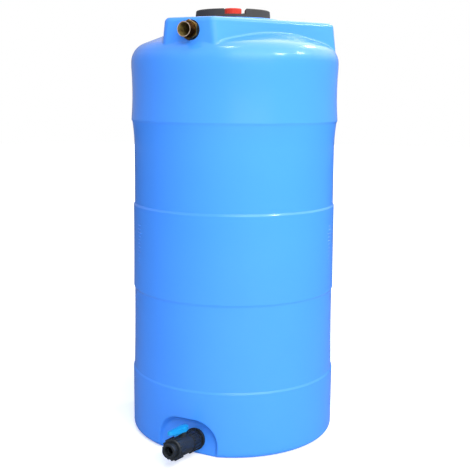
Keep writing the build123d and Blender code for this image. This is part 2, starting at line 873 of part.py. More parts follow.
# Lever: a hub on the stem's square, a long arm along the outlet and a short back
with BuildPart() as valve_lever:
    with BuildSketch(stem_plane.offset(lever_bottom)) as outline:
        with BuildLine():
            Polyline(
                (-lever_back, -lever_tip_width / 2),
                (0, -lever_root_width / 2),
                (lever_reach, -lever_tip_width / 2),
                (lever_reach, lever_tip_width / 2),
                (0, lever_root_width / 2),
                (-lever_back, lever_tip_width / 2),
                close=True,
            )
        make_face()
        fillet(outline.vertices().filter_by(lambda v: abs(v.X) > near), lever_corner_fillet)
        Circle(lever_hub_radius)
    extrude(amount=lever_height)
    fillet(valve_lever.faces().sort_by(Axis(stem_plane.origin, stem_plane.z_dir))[-1].edges(), lever_fillet)
    side_plane = Plane(
        origin=stem_plane.origin, x_dir=stem_plane.x_dir, z_dir=-stem_plane.y_dir
    )
    with BuildSketch(side_plane):
        with BuildLine():
            Polyline(
                (lever_hub_radius, lever_bottom),
                (lever_reach + near, lever_bottom),
                (lever_reach + near, lever_bottom + lever_height - lever_tip_height),
                close=True,
            )
        make_face()
    extrude(amount=lever_root_width, both=True, mode=Mode.SUBTRACT)
    with BuildSketch(stem_plane.offset(lever_bottom - tooth_height)):
        for index in range(tooth_count):
            with Locations((tower_radius + (index + 0.5) * tooth_pitch, 0)):
                Rectangle(tooth_width, lever_tip_width - lever_fillet)
    extrude(amount=tooth_height + lever_height / 2)
    with BuildSketch(stem_plane.offset(lever_bottom)):
        Rectangle(stem_square + 2 * fit_gap, stem_square + 2 * fit_gap)
    extrude(amount=stem_top + fit_gap - lever_bottom, mode=Mode.SUBTRACT)
keep(valve_lever, "valve_lever")
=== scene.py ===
import json
from math import cos, pi, radians, sin

import bmesh
import bpy
from mathutils import Matrix, Vector


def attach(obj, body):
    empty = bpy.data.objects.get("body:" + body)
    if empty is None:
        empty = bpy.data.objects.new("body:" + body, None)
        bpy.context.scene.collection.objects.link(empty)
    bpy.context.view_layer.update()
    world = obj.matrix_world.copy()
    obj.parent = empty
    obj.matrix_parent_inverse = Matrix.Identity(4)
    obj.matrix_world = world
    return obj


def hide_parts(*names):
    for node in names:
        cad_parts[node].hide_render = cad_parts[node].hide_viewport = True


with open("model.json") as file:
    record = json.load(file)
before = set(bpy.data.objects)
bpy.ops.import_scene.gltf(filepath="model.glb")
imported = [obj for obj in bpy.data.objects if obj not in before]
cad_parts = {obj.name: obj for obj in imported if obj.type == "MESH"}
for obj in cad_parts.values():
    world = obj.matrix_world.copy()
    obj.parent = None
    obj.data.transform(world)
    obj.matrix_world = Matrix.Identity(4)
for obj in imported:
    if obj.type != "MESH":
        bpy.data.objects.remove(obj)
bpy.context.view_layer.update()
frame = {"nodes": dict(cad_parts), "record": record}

nodes = frame["nodes"]
record = frame["record"]
mounts = {mount["name"]: mount for mount in record["mounts"]}
scene = bpy.context.scene
scene.view_settings.view_transform = "Standard"


def metres(millimetres):
    return millimetres / 1000


def perMillimetre(size):
    return 1000 / size  # how many repeats of a pattern fit in a metre


def linearColour(hexText):
    # sRGB hex to the linear numbers that the shaders take
    channels = [int(hexText[i:i + 2], 16) / 255 for i in (0, 2, 4)]
    linear = [c / 12.92 if c <= 0.04045 else ((c + 0.055) / 1.055) ** 2.4 for c in channels]
    return (*linear, 1.0)


plainWhite = linearColour("FFFFFF")
plainBlack = linearColour("000000")


def addNode(tree, kind, settings=None, links=None):
    # one node with its settings and what feeds it
    node = tree.nodes.new(kind)
    for name, value in (settings or {}).items():
        if isinstance(name, int) or name in node.inputs:
            node.inputs[name].default_value = value
        else:
            setattr(node, name, value)
    for name, source in (links or {}).items():
        tree.links.new(source, node.inputs[name])
    return node


def emptyMaterial(name):
    material = bpy.data.materials.new(name)
    material.use_nodes = True
    material.node_tree.nodes.clear()
    return material, material.node_tree


def emptyTree(name, sockets, result):
    # a Geometry Nodes tree with its named inputs and the one shape that it gives
    tree = bpy.data.node_groups.new(name, "GeometryNodeTree")
    for socket, kind in sockets.items():
        tree.interface.new_socket(socket, in_out="INPUT", socket_type="NodeSocket" + kind)
    tree.interface.new_socket(result, in_out="OUTPUT", socket_type="NodeSocketGeometry")
    return tree, addNode(tree, "NodeGroupInput").outputs


def closeTree(tree, shape, finish, result):
    # plain geometry in its finish, handed out
    real = addNode(tree, "GeometryNodeRealizeInstances", None, {"Geometry": shape})
    dressed = addNode(
        tree, "GeometryNodeSetMaterial", None, {"Geometry": real.outputs["Geometry"], "Material": finish}
    )
    addNode(tree, "NodeGroupOutput", None, {result: dressed.outputs["Geometry"]})


# camera: a long lens a little above the tank's middle, turned to the right of its front;
# metres and degrees, with the sensor and the lens in millimetres
cameraView = {
    "azimuth": 26.3,
    "distance": 2.553,
    "height": 1.0,
    "right": 0.004,
    "pitch": 9.42,
    "roll": 0.44,
    "lens": 66.57,
    "sensor": 36,
    "farthest": 60,
}


def makeCamera(v):
    turn = radians(v["azimuth"])
    out = Vector((sin(turn), -cos(turn), 0))
    right = Vector((cos(turn), sin(turn), 0))
    data = bpy.data.cameras.new("photoCamera")
    data.sensor_width = v["sensor"]
    data.lens = v["lens"]
    data.clip_end = v["farthest"]
    camera = bpy.data.objects.new("photoCamera", data)
    camera.location = out * v["distance"] + right * v["right"] + Vector((0, 0, v["height"]))
    look = Matrix.Rotation(turn, 4, "Z") @ Matrix.Rotation(radians(90 - v["pitch"]), 4, "X")
    camera.rotation_euler = (look @ Matrix.Rotation(radians(v["roll"]), 4, "Z")).to_euler()
    scene.collection.objects.link(camera)
    scene.camera = camera


makeCamera(cameraView)
print("camera placed")


# light: one broad soft box near the camera, and small ones high up for the moulding's highlights;
# turns are measured from the camera's own azimuth, sizes in metres, power in watts
softBoxes = {
    "keyBox": {"turn": 18, "rise": 26, "distance": 3.4, "size": (2.8, 2.4), "power": 112, "tint": "FFFDF8"},
    "leftSpot": {"turn": -10, "rise": 69, "distance": 3, "size": (0.26, 0.2), "power": 12, "tint": "FFFFFF"},
    "rightSpot": {"turn": 52, "rise": 37, "distance": 3, "size": (0.24, 0.2), "power": 14, "tint": "FFFFFF"},
    "backSpot": {"turn": 129, "rise": 46, "distance": 3, "size": (0.3, 0.2), "power": 13, "tint": "FFFFFF"},
    "sideSpot": {"turn": 82, "rise": 39, "distance": 3, "size": (0.26, 0.2), "power": 10, "tint": "FFFFFF"},
}
aimHeight = 0.75  # the point on the tank's axis that every soft box faces


def makeSoftBox(name, v):
    turn = radians(cameraView["azimuth"] + v["turn"])
    rise = radians(v["rise"])
    away = Vector((sin(turn) * cos(rise), -cos(turn) * cos(rise), sin(rise)))
    data = bpy.data.lights.new(name, "AREA")
    data.shape = "RECTANGLE"
    data.size, data.size_y = v["size"]
    data.energy = v["power"]
    data.color = linearColour(v["tint"])[:3]
    lamp = bpy.data.objects.new(name, data)
    lamp.location = Vector((0, 0, aimHeight)) + away * v["distance"]
    lamp.rotation_euler = away.to_track_quat("Z", "Y").to_euler()
    lamp.visible_glossy = name != "keyBox"  # the key is a wide dull bounce and leaves no glare
    scene.collection.objects.link(lamp)


# the room: what gloss sees goes from its low strength at the horizon to its high one overhead;
# the ceiling fades in between two sines of the rise, and the right side between two of the turn
roomLight = {
    "ambient": "D6E4FF",
    "ambientStrength": 0.57,
    "mirroredLow": 0.35,
    "mirroredHigh": 3.4,
    "mirroredLeft": 0.2,
    "ceiling": (0.02, 0.72),
    "rightSide": (-0.3, 0.12),
}


def makeWorld(v):
    # a pale blue-grey ambient, white where the camera looks past the tank, and for gloss a pale
    # room with a bright ceiling, brighter over the tank's right
    world = bpy.data.worlds.new("paleStudio")
    scene.world = world
    world.use_nodes = True
    tree = world.node_tree
    tree.nodes.clear()
    path = addNode(tree, "ShaderNodeLightPath")
    seen = addNode(
        tree,
        "ShaderNodeMath",
        {"operation": "MAXIMUM"},
        {0: path.outputs["Is Camera Ray"], 1: path.outputs["Is Transmission Ray"]},
    )
    looking = addNode(tree, "ShaderNodeTexCoord").outputs["Generated"]
    height = addNode(tree, "ShaderNodeSeparateXYZ", None, {0: looking})
    ceilingFrom, ceilingTo = v["ceiling"]
    above = addNode(
        tree,
        "ShaderNodeMapRange",
        {"interpolation_type": "SMOOTHSTEP", "From Min": ceilingFrom, "From Max": ceilingTo},
        {"Value": height.outputs["Z"]},
    )
    turn = radians(cameraView["azimuth"])
    across = addNode(
        tree,
        "ShaderNodeVectorMath",
        {"operation": "DOT_PRODUCT", 1: (cos(turn), sin(turn), 0)},
        {0: looking},
    )
    sideFrom, sideTo = v["rightSide"]
    side = addNode(
        tree,
        "ShaderNodeMapRange",
        {
            "interpolation_type": "SMOOTHSTEP",
            "From Min": sideFrom,
            "From Max": sideTo,
            "To Min": v["mirroredLeft"],
        },
        {"Value": across.outputs["Value"]},
    )
    bright = addNode(
        tree, "ShaderNodeMath", {"operation": "MULTIPLY"}, {0: above.outputs[0], 1: side.outputs[0]}
    )
    ceiling = addNode(
        tree,
        "ShaderNodeMapRange",
        {"To Min": v["mirroredLow"], "To Max": v["mirroredHigh"]},
        {"Value": bright.outputs[0]},
    )
    ambient = addNode(
        tree,
        "ShaderNodeBackground",
        {"Color": linearColour(v["ambient"]), "Strength": v["ambientStrength"]},
    )
    mirrored = addNode(
        tree, "ShaderNodeBackground", {"Color": plainWhite}, {"Strength": ceiling.outputs[0]}
    )
    white = addNode(tree, "ShaderNodeBackground", {"Color": plainWhite, "Strength": 1.0})
    lit = addNode(
        tree,
        "ShaderNodeMixShader",
        None,
        {0: path.outputs["Is Glossy Ray"], 1: ambient.outputs[0], 2: mirrored.outputs[0]},
    )
    mix = addNode(
        tree,
        "ShaderNodeMixShader",
        None,
        {0: seen.outputs[0], 1: lit.outputs[0], 2: white.outputs[0]},
    )
    addNode(tree, "ShaderNodeOutputWorld", None, {"Surface": mix.outputs[0]})


# the floor, in metres: its glow for the camera rises to white between two distances
floorLook = {
    "colour": "F6F7F8",
    "radius": 14,
    "sides": 96,
    "glow": 0.46,
    "glowReach": (0.45, 2.2),
    "mirrored": 0.3,
}


def makeFloor(v):
    # a wide pale floor that runs out to white and keeps the shadow under the tank; gloss sees it
    # duller than it is, so that the wall's sides keep their own blue
    mesh = bpy.data.meshes.new("studioFloor")
    shape = bmesh.new()
    bmesh.ops.create_circle(shape, cap_ends=True, segments=v["sides"], radius=v["radius"])
    shape.to_mesh(mesh)
    shape.free()
    floor = bpy.data.objects.new("studioFloor", mesh)
    scene.collection.objects.link(floor)
    material, tree = emptyMaterial("mattFloorPaint")
    where = addNode(tree, "ShaderNodeTexCoord").outputs["Object"]
    far = addNode(tree, "ShaderNodeVectorMath", {"operation": "LENGTH"}, {0: where})
    glowFrom, glowTo = v["glowReach"]
    rise = addNode(
        tree,
        "ShaderNodeMapRange",
        {"From Min": glowFrom, "From Max": glowTo, "To Min": v["glow"], "To Max": 1.0},
        {"Value": far.outputs["Value"]},
    )
    path = addNode(tree, "ShaderNodeLightPath")
    lift = addNode(
        tree,
        "ShaderNodeMath",
        {"operation": "MULTIPLY"},
        {0: rise.outputs[0], 1: path.outputs["Is Camera Ray"]},
    )
    glow = addNode(tree, "ShaderNodeEmission", {"Color": plainWhite}, {"Strength": lift.outputs[0]})
    paint = addNode(tree, "ShaderNodeBsdfDiffuse", {"Color": linearColour(v["colour"])})
    both = addNode(tree, "ShaderNodeAddShader", None, {0: glow.outputs[0], 1: paint.outputs[0]})
    dull = addNode(tree, "ShaderNodeBsdfDiffuse", {"Color": plainBlack})
    share = addNode(
        tree,
        "ShaderNodeMath",
        {"operation": "MULTIPLY", 1: 1 - v["mirrored"]},
        {0: path.outputs["Is Glossy Ray"]},
    )
    shown = addNode(
        tree,
        "ShaderNodeMixShader",
        None,
        {0: share.outputs[0], 1: both.outputs[0], 2: dull.outputs[0]},
    )
    addNode(tree, "ShaderNodeOutputMaterial", None, {"Surface": shown.outputs[0]})
    mesh.materials.append(material)


for boxName, boxValues in softBoxes.items():
    makeSoftBox(boxName, boxValues)
makeWorld(roomLight)
makeFloor(floorLook)
print("studio lit")


# finishes: every size, spacing and depth of a pattern is in millimetres
shellLook = {
    "darkTone": "4493F9",
    "paleTone": "4A99FE",
    "toneSize": 260,
    "waveSize": 95,
    "waveStrength": 0.14,
    "waveDepth": 4,
    "peelSize": 3.5,
    "peelStrength": 0.05,
    "peelDepth": 0.5,
    "scuffSize": 35,
    "roughness": (0.15, 0.25),
    "refraction": 1.53,
    "gloss": 0.42,
}


def polyethyleneShell(v):
    # rotationally moulded polyethylene: one colour through the wall, a waxy soft gloss, a faint
    # orange peel from the mould and slow waves where the wall has shrunk
    material, tree = emptyMaterial("rotomouldedPolyethylene")
    where = addNode(tree, "ShaderNodeTexCoord").outputs["Object"]
    noises = {}
    for part, size, detail in (
        ("cloud", v["toneSize"], 2.0),
        ("waves", v["waveSize"], 1.0),
        ("peel", v["peelSize"], 2.0),
        ("scuff", v["scuffSize"], 4.0),
    ):
        noises[part] = addNode(
            tree,
            "ShaderNodeTexNoise",
            {"Scale": perMillimetre(size), "Detail": detail},
            {"Vector": where},
        ).outputs["Fac"]
    colour = addNode(
        tree,
        "ShaderNodeMix",
        {"data_type": "RGBA", 6: linearColour(v["darkTone"]), 7: linearColour(v["paleTone"])},
        {0: noises["cloud"]},
    )
    slowBump = addNode(
        tree,
        "ShaderNodeBump",
        {"Strength": v["waveStrength"], "Distance": metres(v["waveDepth"])},
        {"Height": noises["waves"]},
    )
    fineBump = addNode(
        tree,
        "ShaderNodeBump",
        {"Strength": v["peelStrength"], "Distance": metres(v["peelDepth"])},
        {"Height": noises["peel"], "Normal": slowBump.outputs["Normal"]},
    )
    smoothest, roughest = v["roughness"]
    sheen = addNode(
        tree,
        "ShaderNodeMapRange",
        {"To Min": smoothest, "To Max": roughest},
        {"Value": noises["scuff"]},
    )
    skin = addNode(
        tree,
        "ShaderNodeBsdfPrincipled",
        {"IOR": v["refraction"], "Specular IOR Level": v["gloss"]},
        {
            "Base Color": colour.outputs[2],
            "Roughness": sheen.outputs[0],
            "Normal": fineBump.outputs["Normal"],
        },
    )
    addNode(tree, "ShaderNodeOutputMaterial", None, {"Surface": skin.outputs[0]})
    return material


# what all the injection mouldings and pressed rubbers share, and then each one's own look
mouldedSkin = {"toneSize": 18, "grainStrength": 0.25, "smoother": 0.06, "rougher": 0.08, "refraction": 1.49}
lidLook = {
    "material": "greyPolypropylene", "darkTone": "3E3B37", "paleTone": "484541",
    "roughness": 0.6, "grainSize": 0.9, "grainDepth": 0.4, "gloss": 0.18,
}
valveLook = {
    "material": "glassFilledPolypropylene", "darkTone": "181C21", "paleTone": "22282E",
    "roughness": 0.46, "grainSize": 0.7, "grainDepth": 0.3, "gloss": 0.4,
}
plugLook = {
    "material": "redPolypropylene", "darkTone": "D03A2E", "paleTone": "DC4638",
    "roughness": 0.45, "grainSize": 0.8, "grainDepth": 0.2, "gloss": 0.25,
}
leverLook = {
    "material": "cyanAcetal", "darkTone": "0A8DC9", "paleTone": "149BD9",
    "roughness": 0.4, "grainSize": 0.8, "grainDepth": 0.2, "gloss": 0.35,
}
rubberLook = {
    "material": "vulcanisedRubber", "darkTone": "161616", "paleTone": "202020",
    "roughness": 0.72, "grainSize": 0.5, "grainDepth": 0.2, "gloss": 0.5,
}
seatLook = {
    "material": "sinteredFluoropolymer", "darkTone": "E9E8E2", "paleTone": "F2F1EC",
    "roughness": 0.5, "grainSize": 0.6, "grainDepth": 0.1, "gloss": 0.5,
}


def mouldedPlastic(v):
    # injection moulded plastic or pressed rubber: two near tones of one colour and the fine
    # spark-eroded grain of the mould
    material, tree = emptyMaterial(v["material"])
    where = addNode(tree, "ShaderNodeTexCoord").outputs["Object"]
    cloud = addNode(
        tree,
        "ShaderNodeTexNoise",
        {"Scale": perMillimetre(mouldedSkin["toneSize"]), "Detail": 3.0},
        {"Vector": where},
    )
    colour = addNode(
        tree,
        "ShaderNodeMix",
        {"data_type": "RGBA", 6: linearColour(v["darkTone"]), 7: linearColour(v["paleTone"])},
        {0: cloud.outputs["Fac"]},
    )
    spark = addNode(
        tree,
        "ShaderNodeTexNoise",
        {"Scale": perMillimetre(v["grainSize"]), "Detail": 2.0},
        {"Vector": where},
    )
    bump = addNode(
        tree,
        "ShaderNodeBump",
        {"Strength": mouldedSkin["grainStrength"], "Distance": metres(v["grainDepth"])},
        {"Height": spark.outputs["Fac"]},
    )
    sheen = addNode(
        tree,
        "ShaderNodeMapRange",
        {
            "To Min": v["roughness"] - mouldedSkin["smoother"],
            "To Max": v["roughness"] + mouldedSkin["rougher"],
        },
        {"Value": cloud.outputs["Fac"]},
    )
    skin = addNode(
        tree,
        "ShaderNodeBsdfPrincipled",
        {"IOR": mouldedSkin["refraction"], "Specular IOR Level": v["gloss"]},
        {
            "Base Color": colour.outputs[2],
            "Roughness": sheen.outputs[0],
            "Normal": bump.outputs["Normal"],
        },
    )
    addNode(tree, "ShaderNodeOutputMaterial", None, {"Surface": skin.outputs[0]})
    return material


# the brass: what its faces share, and then each face's own look
brassSkin = {
    "stainSize": 11,
    "stainEdges": (0.36, 0.66),
    "ringSpacing": 5.0265,
    "ringWander": 0.6,
    "ringStrength": 0.15,
    "ringDepth": 0.2,
    "smoother": 0.08,
    "rougher": 0.12,
}
pressedLook = {
    "material": "pressedBrass", "brightTone": "A07C3E", "staleTone": "3A2612",
    "roughness": 0.34, "metallic": 1.0,
}
# the thread's near-black browns are painted shade: the thread is made darker than the rest of the brass, as
# if it lay in shadow
threadLook = {
    "material": "brassThreadPaintedShade", "brightTone": "4A3018", "staleTone": "1C1008",
    "roughness": 0.42, "metallic": 1.0,
}
# the faced end's near-white tone is partly the turned face's own brightness and partly a painted highlight
faceLook = {
    "material": "facedBrassPaintedHighlight", "brightTone": "F2DCCB", "staleTone": "CFAF98",
    "roughness": 0.5, "metallic": 0.75,
}
boreLook = {
    "material": "staleBrassBore", "brightTone": "9C8A52", "staleTone": "5E4A24",
    "roughness": 0.55, "metallic": 0.2,
}
bandsPerMetre = 20 / (2 * pi)  # what Blender's band pattern gives at a scale of 1


def machinedBrass(v):
    # pressed and turned brass: bright where the tool last passed, which on the inlet's faced end is also a
    # painted highlight, brown in the hollows, which in the inlet's thread is painted shade, with turning
    # rings 5 mm apart, far wider than the real ones so that they show
    material, tree = emptyMaterial(v["material"])
    where = addNode(tree, "ShaderNodeTexCoord").outputs["Object"]
    stain = addNode(
        tree,
        "ShaderNodeTexNoise",
        {"Scale": perMillimetre(brassSkin["stainSize"]), "Detail": 5.0},
        {"Vector": where},
    )
    cleanest, dirtiest = brassSkin["stainEdges"]
    share = addNode(
        tree,
        "ShaderNodeMapRange",
        {"From Min": cleanest, "From Max": dirtiest},
        {"Value": stain.outputs["Fac"]},
    )
    colour = addNode(
        tree,
        "ShaderNodeMix",
        {"data_type": "RGBA", 6: linearColour(v["brightTone"]), 7: linearColour(v["staleTone"])},
        {0: share.outputs[0]},
    )
    rings = addNode(
        tree,
        "ShaderNodeTexWave",
        {
            "bands_direction": "Y",
            "Scale": perMillimetre(brassSkin["ringSpacing"]) / bandsPerMetre,
            "Distortion": brassSkin["ringWander"],
        },
        {"Vector": where},
    )
    bump = addNode(
        tree,
        "ShaderNodeBump",
        {"Strength": brassSkin["ringStrength"], "Distance": metres(brassSkin["ringDepth"])},
        {"Height": rings.outputs["Fac"]},
    )
    sheen = addNode(
        tree,
        "ShaderNodeMapRange",
        {
            "To Min": v["roughness"] - brassSkin["smoother"],
            "To Max": v["roughness"] + brassSkin["rougher"],
        },
        {"Value": stain.outputs["Fac"]},
    )
    metal = addNode(
        tree,
        "ShaderNodeBsdfPrincipled",
        {"Metallic": v["metallic"]},
        {
            "Base Color": colour.outputs[2],
            "Roughness": sheen.outputs[0],
            "Normal": bump.outputs["Normal"],
        },
    )
    addNode(tree, "ShaderNodeOutputMaterial", None, {"Surface": metal.outputs[0]})
    return material


ballLook = {"tone": "DADCDE", "wearSize": 9, "roughness": (0.05, 0.2)}


def ballChrome(v):
    # chrome on brass: a mirror, a little dulled where the seats wipe it
    material, tree = emptyMaterial("chromePlate")
    where = addNode(tree, "ShaderNodeTexCoord").outputs["Object"]
    wear = addNode(
        tree,
        "ShaderNodeTexNoise",
        {"Scale": perMillimetre(v["wearSize"]), "Detail": 4.0},
        {"Vector": where},
    )
    smoothest, roughest = v["roughness"]
    sheen = addNode(
        tree,
        "ShaderNodeMapRange",
        {"To Min": smoothest, "To Max": roughest},
        {"Value": wear.outputs["Fac"]},
    )
    metal = addNode(
        tree,
        "ShaderNodeBsdfPrincipled",
        {"Metallic": 1.0, "Base Color": linearColour(v["tone"])},
        {"Roughness": sheen.outputs[0]},
    )
    addNode(tree, "ShaderNodeOutputMaterial", None, {"Surface": metal.outputs[0]})
    return material


shellFinish = polyethyleneShell(shellLook)
lidFinish = mouldedPlastic(lidLook)
valveFinish = mouldedPlastic(valveLook)
plugFinish = mouldedPlastic(plugLook)
leverFinish = mouldedPlastic(leverLook)
rubberFinish = mouldedPlastic(rubberLook)
seatFinish = mouldedPlastic(seatLook)
pressedFinish = machinedBrass(pressedLook)
threadFinish = machinedBrass(threadLook)
faceFinish = machinedBrass(faceLook)
boreFinish = machinedBrass(boreLook)
chromeFinish = ballChrome(ballLook)

nodeFinishes = {
    "tank_shell": shellFinish,
    "lid_cap": lidFinish,
    "lid_gasket": rubberFinish,
    "vent_plug": plugFinish,
    "vent_seal": rubberFinish,
    "inlet_fitting": pressedFinish,
    "inlet_washer": rubberFinish,
    "inlet_inner_washer": rubberFinish,
    "inlet_backnut": pressedFinish,
    "outlet_bulkhead": valveFinish,
    "outlet_washer": rubberFinish,
    "outlet_inner_washer": rubberFinish,
    "outlet_backnut": valveFinish,
    "rear_connector": valveFinish,
    "rear_oring": rubberFinish,
    "rear_union_nut": valveFinish,
    "valve_body": valveFinish,
    "rear_seat": seatFinish,
    "front_seat": seatFinish,
    "seat_carrier": valveFinish,
    "front_oring": rubberFinish,
    "front_union_nut": valveFinish,
    "front_connector": valveFinish,
    "valve_ball": chromeFinish,
    "valve_stem": valveFinish,
    "stem_orings": rubberFinish,
    "valve_lever": leverFinish,
}
for nodeName, finish in nodeFinishes.items():
    nodes[nodeName].data.materials.clear()
    nodes[nodeName].data.materials.append(finish)
print("finishes made")


# how a piece joins the model: the body it moves with
def bodyOf(nodeName):
    return next(body for body, members in record["behaviour"]["bodies"].items() if nodeName in members)


def linkPiece(name, mesh, nodeName):
    piece = bpy.data.objects.new(name, mesh)
    scene.collection.objects.link(piece)
    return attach(piece, bodyOf(nodeName))


def draftOf(name, mesh):
    # a passing object for modifiers to work on
    draft = bpy.data.objects.new(name + "Draft", mesh)
    scene.collection.objects.link(draft)
    return draft


def evaluatedMesh(draft, name):
    # the plain mesh that an object's modifiers give; the object itself is dropped
    mesh = bpy.data.meshes.new_from_object(draft.evaluated_get(bpy.context.evaluated_depsgraph_get()))
    mesh.name = name
    bpy.data.objects.remove(draft)
    return mesh


class FittingAxis:
    # the line that a turned fitting lies on: how far along it and how far from it a point is
    def __init__(self, end, direction):
        self.end = Vector(end)
        self.out = Vector(direction).normalized()

    def along(self, point):
        return (point - self.end).dot(self.out)

    def radius(self, point):
        return (point - self.end - self.out * self.along(point)).length

    def moved(self, point, radius):
        foot = self.end + self.out * self.along(point)
        return foot + (point - foot).normalized() * radius

    def frameAt(self, along):
        # a matrix that lays +Z on this axis, with its origin at the given station
        spin = Vector((0, 0, 1)).rotation_difference(self.out).to_matrix().to_4x4()
        return Matrix.Translation(self.end + self.out * along) @ spin


def axisOf(mountName):
    return FittingAxis(mounts[mountName]["pos_m"], mounts[mountName]["axis"])


inletAxis = axisOf("inlet_thread")
outletAxis = axisOf("outlet_thread")
lidJoint = next(joint for joint in record["behaviour"]["joints"] if joint["name"] == "lid_turn")
lidAxis = FittingAxis(lidJoint["pos_m"], (0, 0, 1))


# thread forms in millimetres along each axis; between the two turned stations the node's own
# cylinder is brought to the root, which is the larger radius in the outlet's mouth
threads = {
    "inletThread": {
        "node": "inlet_fitting", "axis": inletAxis, "finish": threadFinish,
        "root": 19.476, "crest": 20.93, "pitch": 2.309, "foot": 2.15,
        "from": -10.2, "length": 21.6, "turned": (-12, 13),
    },
    "outletThread": {
        "node": "front_connector", "axis": outletAxis, "finish": valveFinish,
        "root": 13.22, "crest": 12.09, "pitch": 1.814, "foot": 1.7,
        "from": -7.9, "length": 15.2, "turned": (-9.5, 9.5),
    },
    "lidThread": {
        "node": "lid_cap", "axis": lidAxis, "finish": lidFinish,
        "root": 95.4, "crest": 97.3, "pitch": 9.0, "foot": 5.0,
        "from": -30.0, "length": 18.0, "turned": None,
    },
    "ventThread": {
        "node": "vent_plug", "axis": lidAxis, "finish": plugFinish,
        "root": 18.7, "crest": 19.97, "pitch": 2.309, "foot": 2.1,
        "from": -9.8, "length": 11.5, "turned": (-13, 10.8),
    },
}
# what the threads share: steps in a turn, the crest's share of the foot's width, the turns over
# which an end runs out, its share of full size there, and the foot's depth as a share of the height
threadForm = {"steps": 56, "crestShare": 0.17, "runOut": 0.35, "thinnest": 0.05, "sunk": -0.25}


def screwThreadTree(v):
    # one ridge wound round a cylinder: a spiral whose normals lie level, swept by a blunt tooth
    # that shrinks almost to nothing at both ends
    sockets = {
        "Turns": "Float", "Steps": "Int", "Root Radius": "Float", "Length": "Float",
        "Height": "Float", "Foot": "Float", "Crest": "Float", "Run Out": "Float", "Finish": "Material",
    }
    tree, given = emptyTree("screwThread", sockets, "Thread")
    spiral = addNode(
        tree,
        "GeometryNodeCurveSpiral",
        None,
        {
            "Resolution": given["Steps"],
            "Rotations": given["Turns"],
            "Start Radius": given["Root Radius"],
            "End Radius": given["Root Radius"],
            "Height": given["Length"],
        },
    )
    level = addNode(
        tree, "GeometryNodeSetCurveNormal", {"mode": "Z_UP"}, {"Curve": spiral.outputs["Curve"]}
    )
    share = addNode(tree, "GeometryNodeSplineParameter").outputs["Factor"]
    left = addNode(tree, "ShaderNodeMath", {"operation": "SUBTRACT", 0: 1.0}, {1: share})
    nearest = addNode(
        tree, "ShaderNodeMath", {"operation": "MINIMUM"}, {0: share, 1: left.outputs[0]}
    )
    taper = addNode(
        tree,
        "ShaderNodeMapRange",
        {"To Min": v["thinnest"]},
        {"Value": nearest.outputs[0], "From Max": given["Run Out"]},
    )
    tooth = addNode(tree, "GeometryNodeCurvePrimitiveQuadrilateral", {"mode": "POINTS"})
    # each corner: the width that it keeps, its side of the middle, and its share of the height
    corners = (
        ("Foot", -0.5, v["sunk"]),
        ("Crest", -0.5, 1.0),
        ("Crest", 0.5, 1.0),
        ("Foot", 0.5, v["sunk"]),
    )
    for number, (width, across, high) in enumerate(corners, 1):
        x = addNode(tree, "ShaderNodeMath", {"operation": "MULTIPLY", 1: across}, {0: given[width]})
        y = addNode(tree, "ShaderNodeMath", {"operation": "MULTIPLY", 1: high}, {0: given["Height"]})
        point = addNode(tree, "ShaderNodeCombineXYZ", None, {"X": x.outputs[0], "Y": y.outputs[0]})
        tree.links.new(point.outputs[0], tooth.inputs["Point " + str(number)])
    swept = addNode(
        tree,
        "GeometryNodeCurveToMesh",
        {"Fill Caps": True},
        {
            "Curve": level.outputs["Curve"],
            "Profile Curve": tooth.outputs["Curve"],
            "Scale": taper.outputs["Result"],
        },
    )
    closeTree(tree, swept.outputs["Mesh"], given["Finish"], "Thread")
    return tree


def madeByTree(tree, values, name):
    # the plain mesh that a tree gives for these inputs
    draft = draftOf(name, bpy.data.meshes.new(name + "Start"))
    modifier = draft.modifiers.new(name, "NODES")
    modifier.node_group = tree
    for item in tree.interface.items_tree:
        if item.in_out == "INPUT" and item.name in values:
            modifier[item.identifier] = values[item.name]
    return evaluatedMesh(draft, name)


def outwardFaces(mesh):
    # a made mesh closed up, with every face looking outward
    samePoint = metres(0.001)
    shape = bmesh.new()
    shape.from_mesh(mesh)
    bmesh.ops.remove_doubles(shape, verts=shape.verts, dist=samePoint)
    bmesh.ops.recalc_face_normals(shape, faces=shape.faces)
    shape.to_mesh(mesh)
    shape.free()


threadTree = screwThreadTree(threadForm)
for pieceName, v in threads.items():
    turns = v["length"] / v["pitch"]
    values = {
        "Turns": turns,
        "Steps": threadForm["steps"],
        "Root Radius": metres(v["root"]),
        "Length": metres(v["length"]),
        "Height": metres(v["crest"] - v["root"]),
        "Foot": metres(v["foot"]),
        "Crest": metres(v["foot"] * threadForm["crestShare"]),
        "Run Out": threadForm["runOut"] / turns,
        "Finish": v["finish"],
    }
    mesh = madeByTree(threadTree, values, pieceName)
    mesh.transform(v["axis"].frameAt(metres(v["from"])))
    outwardFaces(mesh)
    linkPiece(pieceName, mesh, v["node"])
print("threads cut:", len(threads))


# moulded level marks: two upright columns of plain bars, one each side of the band's middle, in
# millimetres; the columns stand at degrees from the tank's front, and the edge and the back of a
# bar are sunk in the wall by so many times what its middle stands proud
levelMarks = {
    "columns": {"left": -39, "right": 94},
    "bandRadius": 294.6,
    "lowest": 497,
    "spacing": 10.4,
    "count": 13,
    "bar": (20, 3.4),
    "grid": (13, 2, 5),
    "longerEvery": 5,
    "longer": 1.6,
    "proud": 0.9,
    "endRound": 8.0,
    "edgeRound": 2.0,
    "edge": -0.35,
    "back": -1.6,
}


